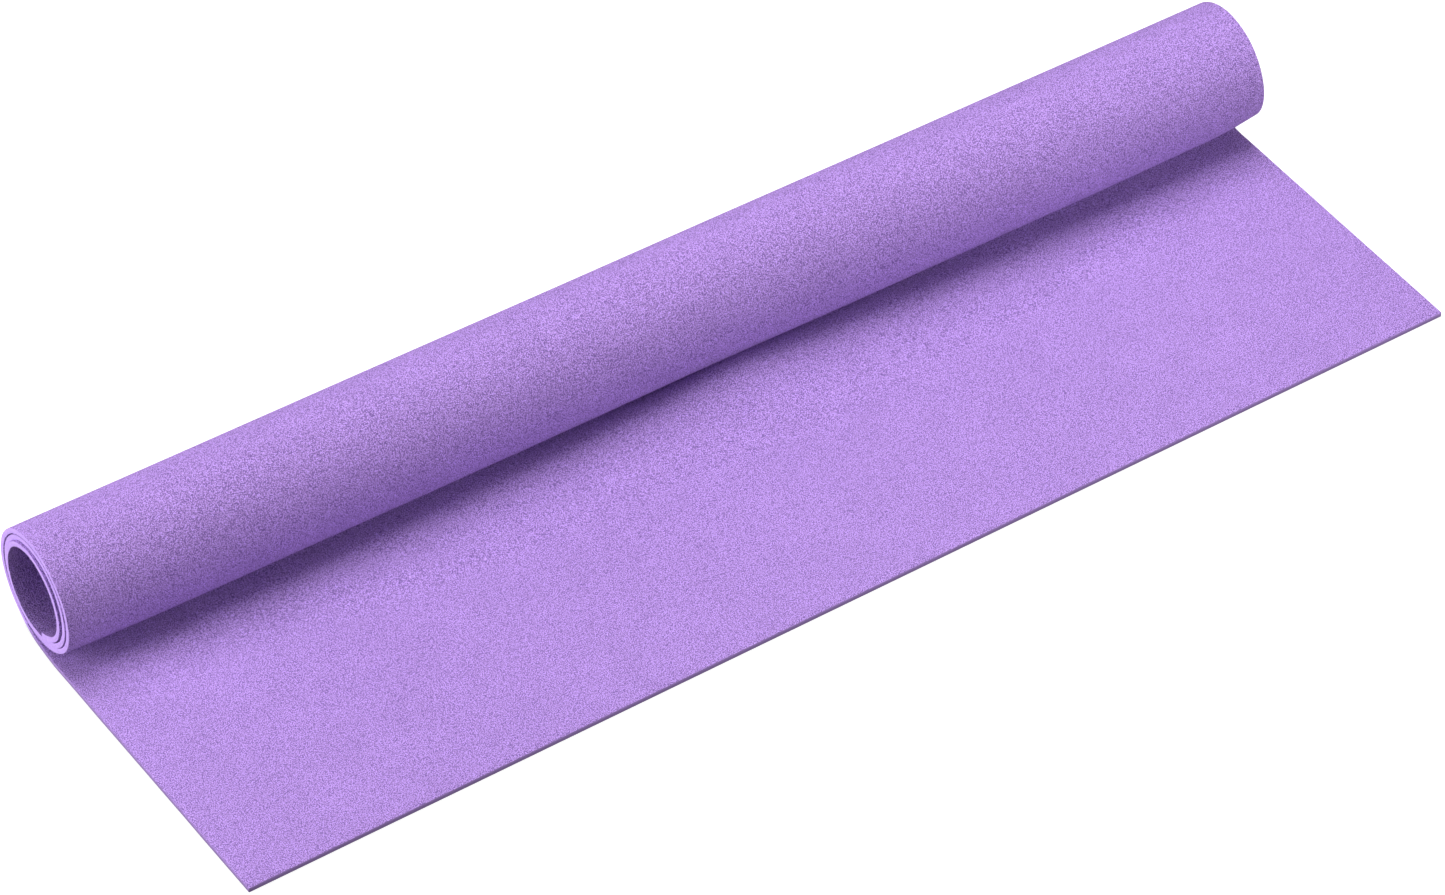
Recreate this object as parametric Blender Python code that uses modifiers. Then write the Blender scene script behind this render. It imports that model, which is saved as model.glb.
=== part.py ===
# A sheet of craft foam, partly rolled up: its front lies flat on the floor and its back winds up
# into a loose roll. It is one piece of foam. Lengths are in metres, +X runs along the roll,
# -Y points to the sheet's free front edge and +Z is up.

import math

import bmesh
import bpy

# The sheet as it was cut
SHEET_WIDTH = 0.500
SHEET_LENGTH = 0.513
SHEET_THICKNESS = 0.002

# How it is rolled
FLAT_LENGTH = 0.1355  # from the front edge to the roll's lowest line, in the middle of the width
BORE_RADIUS = 0.0158  # from the roll's axis to the foam at the inner edge
LEFT_CLEARANCE = 0.0003  # air between one turn and the next at the roll's left end
RIGHT_CLEARANCE = 0.00042  # and at its right end, where it is a little looser
SKEW_ANGLE = math.radians(0.77)  # the roll's right end lies nearer to the front edge
SIDE_SLIP = 0.0027  # the roll has slipped this far to the right of the flat part
SLIP_RUN = 0.016  # the slip grows over this length on each side of the roll's lowest line
SLIP_PER_TURN = -0.0007  # each turn stands out this far to the left of the turn around it

# How finely the surface is divided
SEGMENTS_PER_TURN = 40
COLUMNS = 6
FLAT_SEGMENTS = 2  # one up to where the slip begins, and one from there to the roll

FOAM_COLOUR = (0.42, 0.25, 0.70, 1.0)
FOAM_ROUGHNESS = 0.85
SHARP_ANGLE = math.radians(40)

TURN = 2.0 * math.pi


def remove_objects():
    """Empty the scene, whatever it holds."""
    for item in list(bpy.data.objects):
        bpy.data.objects.remove(item, do_unlink=True)


def flat_length_at(x):
    """Length of the flat part at x, which the skewed roll makes shorter on the right."""
    return FLAT_LENGTH - math.tan(SKEW_ANGLE) * x


def pitch_at(x):
    """How much closer to the axis each turn lies than the turn around it."""
    share = x / SHEET_WIDTH + 0.5
    return SHEET_THICKNESS + LEFT_CLEARANCE + (RIGHT_CLEARANCE - LEFT_CLEARANCE) * share


def start_radius_at(x):
    """Radius of the foam's middle layer where the roll starts, from the length that it takes up."""
    inner_radius = BORE_RADIUS + SHEET_THICKNESS / 2.0
    rolled_length = SHEET_LENGTH - FLAT_LENGTH
    return math.sqrt(inner_radius**2 + pitch_at(x) * rolled_length / math.pi)


def end_angle_at(x):
    """Angle through which the sheet winds at x, from the roll's lowest line to the inner edge."""
    start = start_radius_at(x)
    rolled_length = SHEET_LENGTH - flat_length_at(x)
    inner_radius = math.sqrt(start**2 - pitch_at(x) * rolled_length / math.pi)
    return (start - inner_radius) * TURN / pitch_at(x)


def side_slip(distance):
    """How far the sheet has slipped to the right, this distance along it past the roll's lowest line."""
    share = min(max((distance / SLIP_RUN + 1.0) / 2.0, 0.0), 1.0)
    return SIDE_SLIP * share * share * (3.0 - 2.0 * share)


def roll_point(x, angle):
    """Point of the foam's middle layer on the spiral, which starts at the bottom and rises at the back."""
    start = start_radius_at(x)
    radius = start - pitch_at(x) * angle / TURN
    axis_y = -math.tan(SKEW_ANGLE) * x
    axis_height = start + SHEET_THICKNESS / 2.0
    slip = side_slip(start * angle) + SLIP_PER_TURN * angle / TURN
    return (x + slip, axis_y + radius * math.sin(angle), axis_height - radius * math.cos(angle))


def sheet_point(x, row, roll_rows):
    """Point of the foam's middle layer at x: row 0 is the front edge, and the last row the inner edge."""
    axis_y = -math.tan(SKEW_ANGLE) * x
    if row == 0:
        return (x, -FLAT_LENGTH, SHEET_THICKNESS / 2.0)
    if row < FLAT_SEGMENTS:
        return (x, axis_y - SLIP_RUN, SHEET_THICKNESS / 2.0)
    return roll_point(x, end_angle_at(x) * (row - FLAT_SEGMENTS) / roll_rows)


def make_sheet(name):
    """The sheet as one surface in the middle of the foam, to which Solidify gives the thickness."""
    most_turns = end_angle_at(SHEET_WIDTH / 2.0) / TURN
    roll_rows = math.ceil(most_turns * SEGMENTS_PER_TURN)
    rows = FLAT_SEGMENTS + roll_rows
    shape = bmesh.new()
    bmesh.ops.create_grid(shape, x_segments=COLUMNS, y_segments=rows, size=0.5)
    for vertex in shape.verts:
        row = round((vertex.co.y + 0.5) * rows)
        vertex.co = sheet_point(vertex.co.x * SHEET_WIDTH, row, roll_rows)
    mesh = bpy.data.meshes.new(name)
    shape.to_mesh(mesh)
    shape.free()
    sheet = bpy.data.objects.new(name, mesh)
    thicken = sheet.modifiers.new("foam_thickness", "SOLIDIFY")
    thicken.thickness = SHEET_THICKNESS
    thicken.offset = 0.0
    thicken.use_even_offset = True
    return sheet


def centre_footprint(item):
    """Move a linked object's mesh so that its box is centred on the origin, without lifting it."""
    bpy.context.view_layer.update()
    corners = item.evaluated_get(bpy.context.evaluated_depsgraph_get()).bound_box
    middle_x = (min(c[0] for c in corners) + max(c[0] for c in corners)) / 2.0
    middle_y = (min(c[1] for c in corners) + max(c[1] for c in corners)) / 2.0
    for vertex in item.data.vertices:
        vertex.co.x -= middle_x
        vertex.co.y -= middle_y
    item.data.update()


def foam_material():
    """Matt lilac foam."""
    material = bpy.data.materials.new("foam")
    material.use_nodes = True
    shader = material.node_tree.nodes["Principled BSDF"]
    shader.inputs["Base Color"].default_value = FOAM_COLOUR
    shader.inputs["Roughness"].default_value = FOAM_ROUGHNESS
    shader.inputs["Metallic"].default_value = 0.0
    return material


def build():
    """The whole object, in a collection with its name."""
    remove_objects()
    collection = bpy.data.collections.new("craft_foam_sheet")
    bpy.context.scene.collection.children.link(collection)
    sheet = make_sheet("foam_sheet")
    collection.objects.link(sheet)
    centre_footprint(sheet)
    sheet.data.materials.append(foam_material())
    sheet.data.shade_smooth()
    sheet.data.set_sharp_from_angle(angle=SHARP_ANGLE)


build()
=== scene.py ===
import math

import bmesh
import bpy
from mathutils import Matrix, Vector, noise


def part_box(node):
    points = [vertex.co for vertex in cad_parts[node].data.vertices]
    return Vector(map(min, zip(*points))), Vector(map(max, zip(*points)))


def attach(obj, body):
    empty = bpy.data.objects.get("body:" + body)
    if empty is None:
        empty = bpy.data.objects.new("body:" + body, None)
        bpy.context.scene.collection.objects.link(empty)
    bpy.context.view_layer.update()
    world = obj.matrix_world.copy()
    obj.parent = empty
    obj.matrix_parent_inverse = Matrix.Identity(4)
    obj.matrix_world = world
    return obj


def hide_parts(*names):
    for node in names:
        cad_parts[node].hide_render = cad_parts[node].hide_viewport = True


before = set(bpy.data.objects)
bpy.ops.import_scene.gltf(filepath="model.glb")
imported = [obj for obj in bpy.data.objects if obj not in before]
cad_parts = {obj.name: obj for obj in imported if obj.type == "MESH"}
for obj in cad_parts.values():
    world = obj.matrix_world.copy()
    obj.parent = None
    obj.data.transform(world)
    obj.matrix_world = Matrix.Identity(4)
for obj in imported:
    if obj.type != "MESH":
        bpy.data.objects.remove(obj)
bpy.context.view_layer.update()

# The looks of a lilac craft foam sheet that lies flat along its front and is wound into a loose
# roll along its back. Lengths are in metres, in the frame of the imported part. Angles around the
# roll are 0 at its bottom and 90 degrees at its back, and turns are counted from its bottom too.

# The sheet, as in the part's source
SHEET_WIDTH = 0.500
SHEET_THICKNESS = 0.002
FLAT_LENGTH = 0.1355  # from the front edge to the roll's lowest line, in the middle of the width
SKEW_ANGLE = math.radians(0.77)  # the roll's right end lies nearer to the front edge

# How far the roll has slipped to the right of the flat part
LEFT_SLIP = 0.0015  # at its left end
RIGHT_SLIP = 0.0027
SLIP_RUN = 0.016  # the slip grows over this length on each side of the roll's lowest line
INNER_SLIP = -0.0010  # the innermost turn stands out to the left of the outermost one
INNER_SLIP_FROM = 1.3  # the turns between which it comes to do so
INNER_SLIP_TO = 2.5

# The roll's section, which is a little oval
LEFT_RADIUS = 0.02416  # mean radius of the roll's outside where it starts, at its left end
RIGHT_RADIUS = 0.02447
OVALNESS = 0.00072  # its long axis reaches this much further than the mean radius, its short one less
OVAL_TILT = math.radians(-26.7)  # the long axis leans from the bottom at the front to the top at the back
ROUND_START = math.radians(45)  # over this angle the flat part's line turns into the oval
LEFT_TURNS = 2.962
RIGHT_TURNS = 2.995
LIP_LIFT = 0.0002  # the free inner edge springs up this much
LIP_RUN = 0.08  # over this share of a turn

# The least air between one turn and the next
LEFT_AIR = 0.00002
RIGHT_AIR = 0.00016

# Where there is more air: the turn from which it grows, over how much of a turn, how much it is, at
# which angle, and how narrow the place is, as the power of a cosine
LOOSE_PLACES = (
    (0.8, 0.4, 0.00060, math.radians(88), 3.0),  # the outermost turn stands off at the back
    (1.55, 0.25, 0.00022, math.radians(300), 3.0),  # the second one is looser at the bottom of its front
    (1.9, 0.5, 0.00050, math.radians(280), 1.2),  # the innermost one hangs away at the front
)

# How the roll bulges at the bottom of its front
BELLY = 0.0006
BELLY_ANGLE = math.radians(308)
BELLY_NARROWNESS = 4  # the power of a cosine
BELLY_LEFT_RUN = 0.1  # the bulge grows over this share of the width from the left end
BELLY_RIGHT_RUN = 0.15
BELLY_DIP = 0.53  # at this share of the width it is weaker
BELLY_DIP_DEPTH = 0.6
BELLY_DIP_WIDTH = 0.07

# How the roll's two ends are drawn in at the bottom of their front
TUCK_RUN = 0.020  # over this length
TUCK_NARROWNESS = 8  # the power of a cosine
LEFT_TUCK = 0.0008
LEFT_TUCK_ANGLE = math.radians(335)
RIGHT_TUCK = 0.0021
RIGHT_TUCK_ANGLE = math.radians(324)

# The wrinkle in which the flat part buckles up in front of the roll
WRINKLE_HEIGHT = 0.0065
WRINKLE_X = 0.020  # where along the roll it is highest
WRINKLE_LEFT = 0.058  # from there it falls by more than half over this length to the left
WRINKLE_RIGHT = 0.050
WRINKLE_CREST = 0.15  # how round its crest is
WRINKLE_START = 0.060  # it rises from this far in front of the roll's lowest line
WRINKLE_TOP = 0.020
WRINKLE_END = 0.005

# Small unevenness that any soft sheet has
WAVE_LENGTH = 0.07
WAVE_CIRCLE = 0.021  # radius of the circle round which the roll's waves are read from the noise
ROLL_WAVE = 0.00008
FLAT_WAVE = 0.00012
FLAT_WAVE_FADE = 1.0 / 6.0  # the flat part's waves fade out over this share of it, next to the roll
CUT_WOBBLE = 0.00012  # the sheet's two sides waver by this much
CUT_WOBBLE_LENGTH = 0.012
CUT_ROUNDING = 0.00018
CUT_ROUNDING_STEPS = 2
CUT_ANGLE = math.radians(40)  # edges sharper than this are rounded

# How finely the surface is divided
COLUMNS = 100
FLAT_ROWS = 60
ROWS_PER_TURN = 96

TURN = 2.0 * math.pi
TURN_LENGTH = 0.15  # how much of the sheet one turn takes up, roughly

# The foam's skin: scales are in texture cells per metre
# The skin is coloured towards DARK_LILAC in its pits and towards LIGHT_LILAC on its grains: grain tone,
# and partly painted shade in the pits
DARK_LILAC = (0.180, 0.098, 0.348, 1.0)
LIGHT_LILAC = (0.640, 0.402, 0.960, 1.0)
GRAIN_SCALE = 2450.0  # grains a little under a millimetre apart
GRAIN_DETAIL = 1.0
GRAIN_ROUGHNESS = 0.6
PEBBLE_SCALE = 2600.0
PEBBLE_EDGE = 0.9  # how far from its middle a pebble ends, in cells
GRAIN_SHARE = 0.6  # how much of the height the grains are, and how much the pebbles
PEBBLE_SHARE = 0.4
GRAIN_HEIGHT = 0.0007
DARKEST_HEIGHT = 0.36
LIGHTEST_HEIGHT = 0.62
PATCH_SCALE = 60.0  # the grain is stronger and weaker in patches about 15 mm wide
PATCH_LOW = 0.35
PATCH_HIGH = 0.65
PATCH_WEAKEST = 0.85
CLOUD_SCALE = 9.0  # the colour changes a little in clouds about 10 cm wide
CLOUD_DETAIL = 3.0
CLOUD_STRENGTH = 0.02
SKIN_SMOOTHEST = 0.7
SKIN_ROUGHEST = 0.9
SKIN_SPECULAR = 0.2
SHEEN_WEIGHT = 0.1
SHEEN_ROUGHNESS = 0.5
SHEEN_TINT = (0.7, 0.45, 1.0, 1.0)

# The foam where it was cut
CUT_DARK = (0.395, 0.246, 0.63, 1.0)
CUT_LIGHT = (0.525, 0.343, 0.83, 1.0)
CELL_SCALE = 2200.0
CELL_DEPTH = 0.0001
CELL_STRENGTH = 0.6
CUT_ROUGHNESS = 0.8
CUT_SPECULAR = 0.3
# Painted shade: the cut edges are coloured darker next to the floor, as if the floor shaded them
PAINTED_FLOOR_SHADE = (0.16, 0.10, 0.24, 1.0)
PAINTED_FLOOR_SHADE_HEIGHT = 0.0035  # the painted shade is full at the floor and gone at this height

# Nearly all values of a noise texture lie between these
NOISE_LOW = 0.3
NOISE_HIGH = 0.7

# The camera, fitted to the sheet's edges in the photograph
CAMERA_PLACE = Vector((-1.01619, -1.48752, 1.70758))
CAMERA_AIM = Vector((-0.00237, 0.00719, 0.0))
CAMERA_ROLL = math.radians(-0.11)
CAMERA_LENS = 176.32  # in millimetres, as the sensor's width is
SENSOR_WIDTH = 36.0
CAMERA_NEAR = 0.1
CAMERA_FAR = 100.0

# The plain studio around it
WHITE = (1.0, 1.0, 1.0, 1.0)
FLOOR_SIZE = 40.0
FLOOR_DROP = 0.0001  # how far the floor lies below the sheet
FLOOR_COLOUR = (0.35, 0.35, 0.35, 1.0)
FLOOR_GLOW = 0.85  # it shines by itself, so that it comes out white and its shadows stay faint
BOUNCE_STRENGTH = 0.45  # what the white floor throws back up

# Each light's name, direction in degrees clockwise from +Y, height in degrees, distance, size and watts
LIGHTS = (
    ("top_softbox", 30.0, 72.0, 1.6, 1.4, 34.6),
    ("left_light", 283.0, 11.0, 1.2, 0.8, 14.2),
    ("front_fill", 143.0, 20.0, 1.2, 0.8, 9.5),
)

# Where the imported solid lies: its lowest corner is the flat part's front left one
box_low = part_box("foam_sheet")[0]
MIDDLE_X = box_low.x + SHEET_WIDTH / 2.0
FRONT_Y = box_low.y
ROLL_LINE_Y = FRONT_Y + FLAT_LENGTH


def smooth_step(share):
    """0 below 0, 1 above 1, and a smooth rise in between."""
    share = min(max(share, 0.0), 1.0)
    return share * share * (3.0 - 2.0 * share)


def mix(left, right, x):
    """A value that changes evenly from the sheet's left edge to its right edge."""
    return left + (right - left) * (x / SHEET_WIDTH + 0.5)


def near(angle, place, narrowness):
    """1 at this place around the roll, and 0 from a quarter of a turn away."""
    return max(0.0, math.cos(angle - place)) ** narrowness


def unevenness(place):
    """Smooth noise between 0 and 1, at a place given in wave lengths."""
    return 0.5 + 0.5 * noise.noise(place)


def roll_line_y(x):
    """Where the roll's lowest line lies, which the skew brings nearer to the front on the right."""
    return ROLL_LINE_Y - math.tan(SKEW_ANGLE) * x


def side_slip(x, distance):
    """How far the sheet has slipped to the right, this distance along it past the roll's lowest line."""
    return mix(LEFT_SLIP, RIGHT_SLIP, x) * smooth_step((distance / SLIP_RUN + 1.0) / 2.0)


def oval(angle):
    """How far the roll's outside lies from its mean radius."""
    return OVALNESS * math.cos(2.0 * (angle - OVAL_TILT))


def wave(x, angle):
    """Slow unevenness between -1 and 1, the same for every turn at this angle."""
    place = Vector((x, WAVE_CIRCLE * math.sin(angle), WAVE_CIRCLE * math.cos(angle)))
    return noise.noise(place / WAVE_LENGTH)


def belly(x, angle):
    """How far the roll bulges at the bottom of its front, between its two ends."""
    share = x / SHEET_WIDTH + 0.5
    along = smooth_step(share / BELLY_LEFT_RUN) * smooth_step((1.0 - share) / BELLY_RIGHT_RUN)
    along *= 1.0 - BELLY_DIP_DEPTH * math.exp(-(((share - BELLY_DIP) / BELLY_DIP_WIDTH) ** 2))
    return BELLY * along * near(angle, BELLY_ANGLE, BELLY_NARROWNESS)


def tuck(x, angle):
    """How far the nearer one of the roll's ends is drawn in at the bottom of its front."""
    most, place = (LEFT_TUCK, LEFT_TUCK_ANGLE) if x < 0.0 else (RIGHT_TUCK, RIGHT_TUCK_ANGLE)
    along = max(0.0, (abs(x) - SHEET_WIDTH / 2.0) / TUCK_RUN + 1.0) ** 2
    return most * along * near(angle, place, TUCK_NARROWNESS)


def air_at(x, angle):
    """How much air lies between the roll's outside and this turn, all turns together."""
    turn = angle / TURN
    air = turn * mix(LEFT_AIR, RIGHT_AIR, x)
    for first_turn, run, most, place, narrowness in LOOSE_PLACES:
        around = (0.5 + 0.5 * math.cos(angle - place)) ** narrowness
        air += most * smooth_step((turn - first_turn) / run) * around
    return air


def turns_at(x):
    """Number of turns from the roll's lowest line to the free inner edge."""
    return mix(LEFT_TURNS, RIGHT_TURNS, x)


def roll_radius(x, angle):
    """Distance of the foam's middle layer from the roll's axis."""
    turn = angle / TURN
    start = smooth_step(angle / ROUND_START)
    swell = oval(0.0) * (1.0 - start) + oval(angle) * start
    lip = LIP_LIFT * smooth_step((turn - turns_at(x)) / LIP_RUN + 1.0)
    uneven = (ROLL_WAVE * wave(x, angle) + belly(x, angle) - tuck(x, angle)) * start
    outside = mix(LEFT_RADIUS, RIGHT_RADIUS, x) + swell + uneven - turn * SHEET_THICKNESS
    return outside - SHEET_THICKNESS / 2.0 - air_at(x, angle) - lip


def roll_point(x, angle):
    """Point of the foam's middle layer on the roll, which starts at the bottom and rises at the back."""
    radius = roll_radius(x, angle)
    axis_height = roll_radius(x, 0.0) + SHEET_THICKNESS / 2.0
    inner_share = (angle / TURN - INNER_SLIP_FROM) / (INNER_SLIP_TO - INNER_SLIP_FROM)
    slip = side_slip(x, axis_height * angle) + INNER_SLIP * smooth_step(inner_share)
    y = roll_line_y(x) + radius * math.sin(angle)
    return Vector((MIDDLE_X + x + slip, y, axis_height - radius * math.cos(angle)))


def wrinkle(x, distance):
    """How high the flat part buckles up, this distance in front of the roll's lowest line."""
    reach = WRINKLE_LEFT if x < WRINKLE_X else WRINKLE_RIGHT
    across = math.exp(WRINKLE_CREST - math.hypot((x - WRINKLE_X) / reach, WRINKLE_CREST))
    rise = smooth_step((WRINKLE_START - distance) / (WRINKLE_START - WRINKLE_TOP))
    fall = smooth_step((distance - WRINKLE_END) / (WRINKLE_TOP - WRINKLE_END))
    return WRINKLE_HEIGHT * across * rise * fall


def flat_point(x, share):
    """Point of the foam's middle layer on the flat part: share is 0 at the front edge, 1 at the roll."""
    line_y = roll_line_y(x)
    y = FRONT_Y + (line_y - FRONT_Y) * share
    slip = side_slip(x, y - line_y)
    lift = FLAT_WAVE * unevenness(Vector((x, y, 0.0)) / WAVE_LENGTH)
    lift = lift * smooth_step((1.0 - share) / FLAT_WAVE_FADE) + wrinkle(x, line_y - y)
    return Vector((MIDDLE_X + x + slip, y, SHEET_THICKNESS / 2.0 + lift))


def sheet_point(x, row, roll_rows):
    """Point of the foam's middle layer: row 0 is the front edge, and the last row the free inner edge."""
    if row <= FLAT_ROWS:
        point = flat_point(x, row / FLAT_ROWS)
    else:
        point = roll_point(x, turns_at(x) * TURN * (row - FLAT_ROWS) / roll_rows)
    # 1 on the outermost columns, which are the sheet's two sides, and 0 on all others
    at_side = max(0.0, abs(x) / (SHEET_WIDTH / 2.0) * COLUMNS - COLUMNS + 1.0)
    place = Vector((x, row / ROWS_PER_TURN, 0.0)) / CUT_WOBBLE_LENGTH * TURN_LENGTH
    point.x -= math.copysign(CUT_WOBBLE, x) * at_side * unevenness(place)
    return point


def make_sheet():
    """The foam as a fine surface in its middle, thickened and with slightly rounded cut edges."""
    roll_rows = math.ceil(RIGHT_TURNS * ROWS_PER_TURN)
    rows = FLAT_ROWS + roll_rows
    shape = bmesh.new()
    bmesh.ops.create_grid(shape, x_segments=COLUMNS, y_segments=rows, size=0.5)
    for vertex in shape.verts:
        row = round((vertex.co.y + 0.5) * rows)
        vertex.co = sheet_point(vertex.co.x * SHEET_WIDTH, row, roll_rows)
    for face in shape.faces:
        face.smooth = True
    mesh = bpy.data.meshes.new("craft_foam")
    shape.to_mesh(mesh)
    shape.free()
    foam = bpy.data.objects.new("craft_foam", mesh)
    bpy.context.scene.collection.objects.link(foam)
    foam.data.materials.append(skin_material())
    foam.data.materials.append(cut_material())
    thicken = foam.modifiers.new("thickness", "SOLIDIFY")
    thicken.thickness = SHEET_THICKNESS
    thicken.offset = 0.0
    thicken.use_even_offset = True
    thicken.material_offset_rim = 1  # the rim gets the cut material
    rounding = foam.modifiers.new("rounded_cut", "BEVEL")
    rounding.width = CUT_ROUNDING
    rounding.segments = CUT_ROUNDING_STEPS
    rounding.limit_method = "ANGLE"
    rounding.angle_limit = CUT_ANGLE
    return foam


def new_material(name):
    """A material with nodes: itself, its tree and its shader."""
    material = bpy.data.materials.new(name)
    material.use_nodes = True
    return material, material.node_tree, material.node_tree.nodes["Principled BSDF"]


def feed(tree, node, inputs):
    """Give a node its inputs, by name or number: each is a socket to link, or a value to set."""
    for name, value in inputs.items():
        if isinstance(value, (int, float, tuple)):
            node.inputs[name].default_value = value
        else:
            tree.links.new(value, node.inputs[name])


def add_node(tree, kind, inputs):
    """A new node with these inputs."""
    node = tree.nodes.new(kind)
    feed(tree, node, inputs)
    return node


def noise_value(tree, place, scale, detail=2.0, roughness=0.5):
    """A noise texture's value."""
    inputs = {"Vector": place, "Scale": scale, "Detail": detail, "Roughness": roughness}
    return add_node(tree, "ShaderNodeTexNoise", inputs).outputs["Fac"]


def ranged(tree, value, low, high, to_low, to_high):
    """The value mapped from one range to another."""
    inputs = {"Value": value, "From Min": low, "From Max": high, "To Min": to_low, "To Max": to_high}
    return add_node(tree, "ShaderNodeMapRange", inputs).outputs["Result"]


def calculated(tree, operation, first, second):
    """Two values put together by a Math node."""
    node = add_node(tree, "ShaderNodeMath", {0: first, 1: second})
    node.operation = operation
    return node.outputs["Value"]


def blended(tree, share, first, second):
    """A colour between two colours."""
    node = tree.nodes.new("ShaderNodeMix")
    node.data_type = "RGBA"
    feed(tree, node, {"Factor": share, "A": first, "B": second})
    return node.outputs["Result"]


def bumped(tree, height, distance, strength):
    """The direction in which a surface faces where a height makes it rough."""
    inputs = {"Height": height, "Distance": distance, "Strength": strength}
    return add_node(tree, "ShaderNodeBump", inputs).outputs["Normal"]


def skin_height(tree, grain, place):
    """The height of the skin, made of grains and of rounded pebbles."""
    cells = add_node(tree, "ShaderNodeTexVoronoi", {"Vector": place, "Scale": PEBBLE_SCALE})
    pebble = ranged(tree, cells.outputs["Distance"], 0.0, PEBBLE_EDGE, 1.0, 0.0)
    grain_part = calculated(tree, "MULTIPLY", grain, GRAIN_SHARE)
    pebble_part = calculated(tree, "MULTIPLY", pebble, PEBBLE_SHARE)
    return calculated(tree, "ADD", grain_part, pebble_part)


def skin_material():
    """The foam's pebbled skin: fine grains whose strength changes from patch to patch, coloured darker in
    their pits, partly as painted shade.
    """
    material, tree, shader = new_material("foam_skin")
    place = tree.nodes.new("ShaderNodeTexCoord").outputs["Object"]
    grain = noise_value(tree, place, GRAIN_SCALE, GRAIN_DETAIL, GRAIN_ROUGHNESS)
    height = skin_height(tree, grain, place)
    patches = noise_value(tree, place, PATCH_SCALE)
    strength = ranged(tree, patches, PATCH_LOW, PATCH_HIGH, PATCH_WEAKEST, 1.0)
    # Grain tone and painted shade: the lower the skin, the darker its colour, as in shaded pits
    tone = ranged(tree, height, DARKEST_HEIGHT, LIGHTEST_HEIGHT, 0.0, 1.0)
    clouds = noise_value(tree, place, CLOUD_SCALE, CLOUD_DETAIL)
    cloud = ranged(tree, clouds, NOISE_LOW, NOISE_HIGH, -CLOUD_STRENGTH, CLOUD_STRENGTH)
    lightness = calculated(tree, "ADD", tone, cloud)
    feed(tree, shader, {
        "Base Color": blended(tree, lightness, DARK_LILAC, LIGHT_LILAC),
        "Normal": bumped(tree, height, GRAIN_HEIGHT, strength),
        "Roughness": ranged(tree, grain, NOISE_LOW, NOISE_HIGH, SKIN_SMOOTHEST, SKIN_ROUGHEST),
        "Specular IOR Level": SKIN_SPECULAR,
        "Sheen Weight": SHEEN_WEIGHT,
        "Sheen Roughness": SHEEN_ROUGHNESS,
        "Sheen Tint": SHEEN_TINT,
    })
    return material


def cut_material():
    """The foam where it was cut: smoother and a little paler, with fine closed cells, and with painted
    shade that darkens it next to the floor.
    """
    material, tree, shader = new_material("foam_cut")
    place = tree.nodes.new("ShaderNodeTexCoord").outputs["Object"]
    cells = noise_value(tree, place, CELL_SCALE)
    fresh = blended(tree, ranged(tree, cells, NOISE_LOW, NOISE_HIGH, 0.0, 1.0), CUT_DARK, CUT_LIGHT)
    height = add_node(tree, "ShaderNodeSeparateXYZ", {"Vector": place}).outputs["Z"]
    # Painted shade: the cut faces are coloured darker the nearer they are to the floor
    unshaded = ranged(tree, height, 0.0, PAINTED_FLOOR_SHADE_HEIGHT, 0.0, 1.0)
    feed(tree, shader, {
        "Base Color": blended(tree, unshaded, PAINTED_FLOOR_SHADE, fresh),
        "Normal": bumped(tree, cells, CELL_DEPTH, CELL_STRENGTH),
        "Roughness": CUT_ROUGHNESS,
        "Specular IOR Level": CUT_SPECULAR,
    })
    return material


def make_camera():
    """The camera at the photograph's angle."""
    data = bpy.data.cameras.new("camera")
    data.lens = CAMERA_LENS
    data.sensor_width = SENSOR_WIDTH
    data.sensor_fit = "HORIZONTAL"
    data.clip_start = CAMERA_NEAR
    data.clip_end = CAMERA_FAR
    camera = bpy.data.objects.new("camera", data)
    bpy.context.scene.collection.objects.link(camera)
    turned = (CAMERA_AIM - CAMERA_PLACE).to_track_quat("-Z", "Y").to_matrix().to_4x4()
    camera.matrix_world = Matrix.Translation(CAMERA_PLACE) @ turned @ Matrix.Rotation(CAMERA_ROLL, 4, "Z")
    bpy.context.scene.camera = camera


def make_floor():
    """A plain white floor, which only the camera sees: what it throws back is the world's own light."""
    bpy.ops.mesh.primitive_plane_add(size=FLOOR_SIZE, location=(0.0, 0.0, -FLOOR_DROP))
    floor = bpy.context.object
    floor.name = "floor"
    floor.visible_diffuse = False
    floor.visible_glossy = False
    material, tree, shader = new_material("white_floor")
    feed(tree, shader, {
        "Base Color": FLOOR_COLOUR,
        "Roughness": 1.0,
        "Specular IOR Level": 0.0,
        "Emission Color": WHITE,
        "Emission Strength": FLOOR_GLOW,
    })
    floor.data.materials.append(material)


def make_light(name, azimuth, elevation, distance, size, power):
    """A soft round light that points at the middle of the sheet."""
    data = bpy.data.lights.new(name, "AREA")
    data.shape = "DISK"
    data.size = size
    data.energy = power
    light = bpy.data.objects.new(name, data)
    bpy.context.scene.collection.objects.link(light)
    side = math.cos(math.radians(elevation))
    place = Vector((side * math.sin(math.radians(azimuth)), side * math.cos(math.radians(azimuth)), 0.0))
    place.z = math.sin(math.radians(elevation))
    turned = (-place).to_track_quat("-Z", "Y").to_matrix().to_4x4()
    light.matrix_world = Matrix.Translation(place * distance) @ turned
    light.visible_camera = False


def make_world():
    """Light from below the horizon, as from a white floor, and none from above it."""
    world = bpy.data.worlds.new("studio")
    world.use_nodes = True
    tree = world.node_tree
    direction = tree.nodes.new("ShaderNodeTexCoord").outputs["Generated"]
    height = add_node(tree, "ShaderNodeSeparateXYZ", {"Vector": direction}).outputs["Z"]
    below = calculated(tree, "LESS_THAN", height, 0.0)
    strength = calculated(tree, "MULTIPLY", below, BOUNCE_STRENGTH)
    feed(tree, tree.nodes["Background"], {"Color": WHITE, "Strength": strength})
    bpy.context.scene.world = world


make_camera()
make_world()
make_floor()
for light in LIGHTS:
    make_light(*light)
bpy.context.scene.view_settings.view_transform = "Standard"

sheet = make_sheet()
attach(sheet, "root")
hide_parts("foam_sheet")
